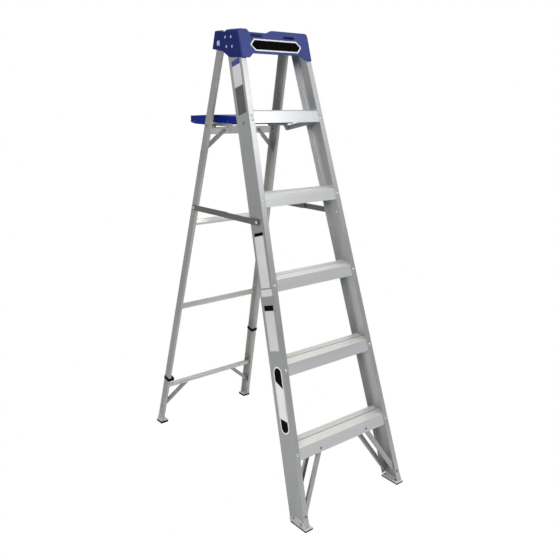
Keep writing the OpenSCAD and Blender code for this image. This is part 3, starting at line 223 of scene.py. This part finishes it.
# ---- materials ----
ALONG_X = (0.04, 1.0, 1.0)
ALONG_Y = (1.0, 0.05, 1.0)
ALONG_Z = (1.0, 1.0, 0.04)
COOL = (0.985, 1.0, 1.01)
WARM = (1.0, 0.99, 0.955)
# Painted shade on the front rails: inner faces a little darker, outer faces darker.
rail_metal = metal("rail_metal", 0.51, 0.59, 0.36, 0.8, ALONG_Z, COOL, (0.9, 0.7))
step_metal = metal("step_metal", 0.68, 0.75, 0.30, 0.5, ALONG_X, groove=True)
# Painted light inside the rear rails' channels, and painted shade on their outer faces.
rear_metal = metal("rear_metal", 0.41, 0.57, 0.40, 0.45, ALONG_Z, WARM, (1.3, 0.68))
bar_metal = metal("bar_metal", 0.58, 0.68, 0.30, 0.85, ALONG_X, WARM)
strut_metal = metal("strut_metal", 0.46, 0.56, 0.38, 0.8, ALONG_Z)
# Painted shade on the shoes' outer faces.
shoe_metal = metal("shoe_metal", 0.70, 0.80, 0.40, 0.35, ALONG_Z, side_light_levels=(1.0, 0.66))
tube_metal = metal("tube_metal", 0.68, 0.76, 0.34, 0.95, ALONG_X, WARM)
knee_metal = metal("knee_metal", 0.30, 0.42, 0.40, 0.8, ALONG_Z)
spread_metal = metal("spread_metal", 0.13, 0.21, 0.42, 0.75, ALONG_Y, (0.98, 1.0, 0.98))
bracket_metal = metal("bracket_metal", 0.42, 0.54, 0.40, 0.75, ALONG_Y)
rivet_metal = metal("rivet_metal", 0.80, 0.92, 0.20, 0.95, EVEN)
cap_rivet_metal = metal("cap_rivet_metal", 0.68, 0.80, 0.20, 0.95, EVEN, (0.86, 0.93, 1.1))
small_rivet_metal = metal("small_rivet_metal", 0.20, 0.32, 0.30, 0.9, EVEN)

# Painted shade on the cap's end faces, a deeper navy than its front and top.
CAP_END_PAINTED_SHADE = (0.14, 0.21, 0.46)
cap_blue = plastic("cap_blue", (0.060, 0.080, 0.260), (0.072, 0.094, 0.300), 0.34, shine=0.045,
                   side_light_levels=(1.0, CAP_END_PAINTED_SHADE), edge=0.003)
shelf_blue = plastic("shelf_blue", (0.004, 0.015, 0.19), (0.007, 0.022, 0.24), 0.33, shine=0.04, edge=0.002)
black_plastic = plastic("black_plastic", (0.002, 0.002, 0.002), (0.004, 0.004, 0.004), 0.5, shine=0.03)
rubber = plastic("rubber", (0.002, 0.002, 0.002), (0.004, 0.004, 0.005), 0.85, 240.0, 0.3, shine=0.02)
plate_black = plastic("plate_black", (0.002, 0.002, 0.002), (0.004, 0.004, 0.004), 0.6, shine=0.02)


def paper(name, low, high, rough=0.5, shine=0.25):
    return plastic(name, low, high, rough, 500.0, 0.03, shine=shine)


label_white = paper("label_white", (0.62, 0.62, 0.64), (0.70, 0.70, 0.72))
label_grey = paper("label_grey", (0.08, 0.08, 0.085), (0.12, 0.12, 0.125))
decal_white = paper("decal_white", (0.84, 0.84, 0.85), (0.90, 0.90, 0.91))
label_blue = paper("label_blue", (0.02, 0.03, 0.20), (0.03, 0.04, 0.24), 0.42, 0.5)


def paint(names, mat):
    for n in names:
        mesh = nodes[n].data
        mesh.materials.clear()
        mesh.materials.append(mat)


def pick(test):
    return [n for n in nodes if test(n)]


paint(nodes, strut_metal)
paint(pick(lambda n: n.startswith("front_rail")), rail_metal)
paint(pick(lambda n: n.startswith("rear_rail")), rear_metal)
paint(pick(lambda n: n.startswith("step_") and n != "step_rivets"), step_metal)
paint(pick(lambda n: n.endswith("_rear_bar")), bar_metal)
paint(["bottom_rear_bar"], tube_metal)
paint(pick(lambda n: n.endswith(("rivets", "pins", "pivots"))), small_rivet_metal)
paint(["step_rivets", "spreader_front_pins", "spreader_rear_pins"], rivet_metal)
paint(["cap_rivets", "fold_pivots"], cap_rivet_metal)
paint(pick(lambda n: n.startswith("spreader") and "bar" in n), spread_metal)
paint(pick(lambda n: n.startswith(("shelf_arm", "shelf_bracket"))), bracket_metal)
paint(pick(lambda n: n.startswith(("upper_knee", "lower_knee"))), knee_metal)
paint(pick(lambda n: "shoe" in n and "rivets" not in n), shoe_metal)
paint(pick(lambda n: "sole" in n), rubber)
paint(["top_cap"], cap_blue)
paint(["shelf_tray"], shelf_blue)
paint(["rail_bands"], black_plastic)
paint(["badge_plate"], plate_black)


# ---- blank labels on the near front rail, and the outline of the cap's plate ----
# Heights over a face of a label, of a decal's three layers and of the plate's outline: underside and top
LABEL = (-0.0001, 0.00035)
DECAL_LAYERS = ((-0.0001, 0.0003), (0.0002, 0.0005), (0.0004, 0.0007))
OUTLINE = (-0.0001, 0.0004)
ARC_STEPS = 12


def front_point(x, n, s):
    """Place at n behind the front face and s along its slope, in the row frame."""
    y = front_start + n * math.cos(lean) + s * math.sin(lean)
    return Vector((x, y, s * math.cos(lean) - n * math.sin(lean)))


def web_point(n, s, out):
    """Place over the outer face of the near front rail."""
    return front_point(batter * s - half_base - out, n, s)


def band(bm, ring_a, ring_b):
    """Faces between two rings of as many points."""
    count = len(ring_a)
    for i in range(count):
        after = (i + 1) % count
        bm.faces.new((ring_a[i], ring_a[after], ring_b[after], ring_b[i]))


def sheet(name, outline, place, heights, mat, hole=None):
    """Thin plate with an outline and perhaps a hole of as many points, between two heights over a face."""
    bm = bmesh.new()
    rings = [[[bm.verts.new(place(u, v, h)) for u, v in ring] for h in heights]
             for ring in ([outline, hole] if hole else [outline])]
    for low, high in rings:
        band(bm, low, high)
    for level in range(len(heights)):
        if hole:
            band(bm, rings[0][level], rings[1][level])
        else:
            bm.faces.new(rings[0][level])
    bmesh.ops.recalc_face_normals(bm, faces=bm.faces)
    mesh = bpy.data.meshes.new(name)
    bm.to_mesh(mesh)
    bm.free()
    mesh.materials.append(mat)
    obj = bpy.data.objects.new(name, mesh)
    scene.collection.objects.link(obj)
    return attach(obj, "ladder")


def panel(name, n0, n1, s0, s1, mat):
    return sheet(name, [(n0, s0), (n1, s0), (n1, s1), (n0, s1)], web_point, LABEL, mat)


def stadium(n0, n1, s0, s1, inset):
    """Outline with two round ends, each of them an arc of ARC_STEPS steps."""
    radius = (n1 - n0) / 2 - inset
    mid_n = (n0 + n1) / 2
    ring = []
    for centre, start in ((s1 - inset - radius, 0.0), (s0 + inset + radius, math.pi)):
        for i in range(ARC_STEPS + 1):
            angle = start + i * math.pi / ARC_STEPS
            ring.append((mid_n + radius * math.cos(angle), centre + radius * math.sin(angle)))
    return ring


# Each label's name, its two edges behind the rail's front face, its two ends along the slope, and its
# material
for label in (
    ("label_a_top", 0.013, 0.062, 1.689, 1.709, label_blue),
    ("label_a_body", 0.013, 0.062, 1.6115, 1.6885, label_white),
    ("label_a_end", 0.013, 0.062, 1.511, 1.611, label_grey),
    ("label_b_top", 0.013, 0.064, 1.067, 1.079, plate_black),
    ("label_b_body", 0.013, 0.066, 0.8785, 1.0665, label_white),
    ("label_b_end", 0.006, 0.070, 0.848, 0.873, label_white),
    ("label_c_top", 0.011, 0.063, 0.7955, 0.815, plate_black),
    ("label_c_body", 0.010, 0.063, 0.649, 0.795, label_white),
):
    panel(*label)

# Decal: a black stadium with a white edge, and a blank white field with slanted ends
DECAL = (0.012, 0.060, 0.347, 0.593)
DECAL_EDGE = 0.005
DECAL_FIELD = [(0.0175, 0.392), (0.0545, 0.404), (0.0545, 0.540), (0.0175, 0.512)]
sheet("decal_edge", stadium(*DECAL, 0.0), web_point, DECAL_LAYERS[0], decal_white)
sheet("decal_black", stadium(*DECAL, DECAL_EDGE), web_point, DECAL_LAYERS[1], plate_black)
sheet("decal_field", DECAL_FIELD, web_point, DECAL_LAYERS[2], decal_white)

# The plate leans back with the ladder's front, so its thickness and height follow from its box.
plate_lo, plate_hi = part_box("badge_plate")
plate_mid = (plate_lo + plate_hi) / 2
rise = plate_hi.z - plate_lo.z
run = plate_hi.y - plate_lo.y
plate_t = (run * math.cos(lean) - rise * math.sin(lean)) / math.cos(2 * lean)
plate_h = rise * math.cos(lean) + run * math.sin(lean) - plate_t * math.sin(2 * lean)


def plate_point(u, v, out):
    """Place over the front of the cap's plate, from its middle."""
    up = Vector((0.0, math.sin(lean), math.cos(lean)))
    forward = Vector((0.0, -math.cos(lean), math.sin(lean)))
    return plate_mid + Vector((u, 0.0, 0.0)) + up * v + forward * (plate_t / 2 + out)


PLATE_CUT = 0.020
OUTLINE_EDGES = (0.0005, 0.0060)


def octagon(inset):
    """The plate's outline with its cut corners, moved inwards."""
    w = plate_hi.x - inset
    h = plate_h / 2 - inset
    cut = PLATE_CUT - inset * 0.6
    return [(-w, -h + cut), (-w + cut, -h), (w - cut, -h), (w, -h + cut),
            (w, h - cut), (w - cut, h), (-w + cut, h), (-w, h - cut)]


outer_edge, inner_edge = [octagon(inset) for inset in OUTLINE_EDGES]
sheet("plate_outline", outer_edge, plate_point, OUTLINE, decal_white, inner_edge)


# ---- floor, light and camera ----
FLOOR_HALF = 12.0
corners = [(x * FLOOR_HALF, y * FLOOR_HALF, 0.0) for x, y in ((-1, -1), (1, -1), (1, 1), (-1, 1))]
floor_mesh = bpy.data.meshes.new("floor")
floor_mesh.from_pydata(corners, [], [(0, 1, 2, 3)])
floor = bpy.data.objects.new("floor", floor_mesh)
scene.collection.objects.link(floor)
fmat, ftree, fbsdf = new_material("floor_white")
fcol = ramp(ftree, noise(ftree, coords(ftree, EVEN), 2.0), [(0.0, grey(0.82)), (1.0, grey(0.86))])
ftree.links.new(fcol, fbsdf.inputs["Base Color"])
fbsdf.inputs["Roughness"].default_value = 0.9
# The camera sees the floor as the same white as the backdrop.
fwhite = ftree.nodes.new("ShaderNodeEmission")
fpath = ftree.nodes.new("ShaderNodeLightPath")
fmix = ftree.nodes.new("ShaderNodeMixShader")
fout = next(n for n in ftree.nodes if n.type == "OUTPUT_MATERIAL")
ftree.links.new(fpath.outputs["Is Camera Ray"], fmix.inputs[0])
ftree.links.new(fbsdf.outputs[0], fmix.inputs[1])
ftree.links.new(fwhite.outputs[0], fmix.inputs[2])
ftree.links.new(fmix.outputs[0], fout.inputs[0])
floor_mesh.materials.append(fmat)


def sky(tree, levels):
    """Level of the soft light from each side. The squares of a direction's parts add up to one."""
    pos = tree.nodes.new("ShaderNodeTexCoord")
    axes = tree.nodes.new("ShaderNodeSeparateXYZ")
    tree.links.new(pos.outputs["Generated"], axes.inputs[0])
    total = 0.0
    for axis, pair in zip(axes.outputs, levels):
        for sign, level in zip((-1.0, 1.0), pair):
            side = math_node(tree, "MAXIMUM", math_node(tree, "MULTIPLY", axis, sign), 0.0)
            total = math_node(tree, "MULTIPLY_ADD", math_node(tree, "MULTIPLY", side, side), level, total)
    return total


# Soft light from the left and right, the front and back, below and above.
SKY = ((0.15, 0.48), (0.27, 1.10), (0.20, 0.39))
world = bpy.data.worlds.new("studio")
scene.world = world
world.use_nodes = True
wt = world.node_tree
wt.nodes.clear()
wout = wt.nodes.new("ShaderNodeOutputWorld")
lit = wt.nodes.new("ShaderNodeBackground")
wt.links.new(sky(wt, SKY), lit.inputs["Color"])
seen = wt.nodes.new("ShaderNodeBackground")
seen.inputs["Color"].default_value = (1.0, 1.0, 1.0, 1.0)
seen.inputs["Strength"].default_value = 1.0
path = wt.nodes.new("ShaderNodeLightPath")
swap = wt.nodes.new("ShaderNodeMixShader")
wt.links.new(path.outputs["Is Camera Ray"], swap.inputs[0])
wt.links.new(lit.outputs[0], swap.inputs[1])
wt.links.new(seen.outputs[0], swap.inputs[2])
wt.links.new(swap.outputs[0], wout.inputs[0])


def area(name, where, target, size, power):
    light = bpy.data.lights.new(name, "AREA")
    light.shape = "DISK"
    light.size = size
    light.energy = power
    obj = bpy.data.objects.new(name, light)
    obj.location = where
    obj.rotation_euler = (Vector(target) - Vector(where)).to_track_quat("-Z", "Y").to_euler()
    scene.collection.objects.link(obj)


area("key", (1.6, -2.6, 3.0), (0.0, -0.2, 1.6), 1.2, 16.5)
area("fill", (-3.0, -1.8, 2.5), (0.0, 0.2, 1.2), 1.8, 53.0)
area("top", (0.0, 0.0, 7.0), (0.0, 0.0, 0.6), 4.0, 178.0)

CAMERA_PLACE = (-1.67159, -2.03369, 1.52524)
YAW, PITCH, ROLL = math.radians(40.4035), math.radians(-15.6987), math.radians(1.3872)
cam_data = bpy.data.cameras.new("camera")
cam = bpy.data.objects.new("camera", cam_data)
scene.collection.objects.link(cam)
scene.camera = cam
cam_data.sensor_width = 36.0
cam_data.lens = 43.37
cam_data.shift_x = -0.008
cam_data.shift_y = -0.0068
look = Vector((math.sin(YAW) * math.cos(PITCH), math.cos(YAW) * math.cos(PITCH), math.sin(PITCH)))
level_right = Vector((math.cos(YAW), -math.sin(YAW), 0.0))
level_over = level_right.cross(look)
right = level_right * math.cos(ROLL) + level_over * math.sin(ROLL)
over = level_over * math.cos(ROLL) - level_right * math.sin(ROLL)
turn = Matrix((right, over, -look)).transposed()
cam.matrix_world = Matrix.Translation(CAMERA_PLACE) @ turn.to_4x4()

scene.view_settings.view_transform = "Standard"
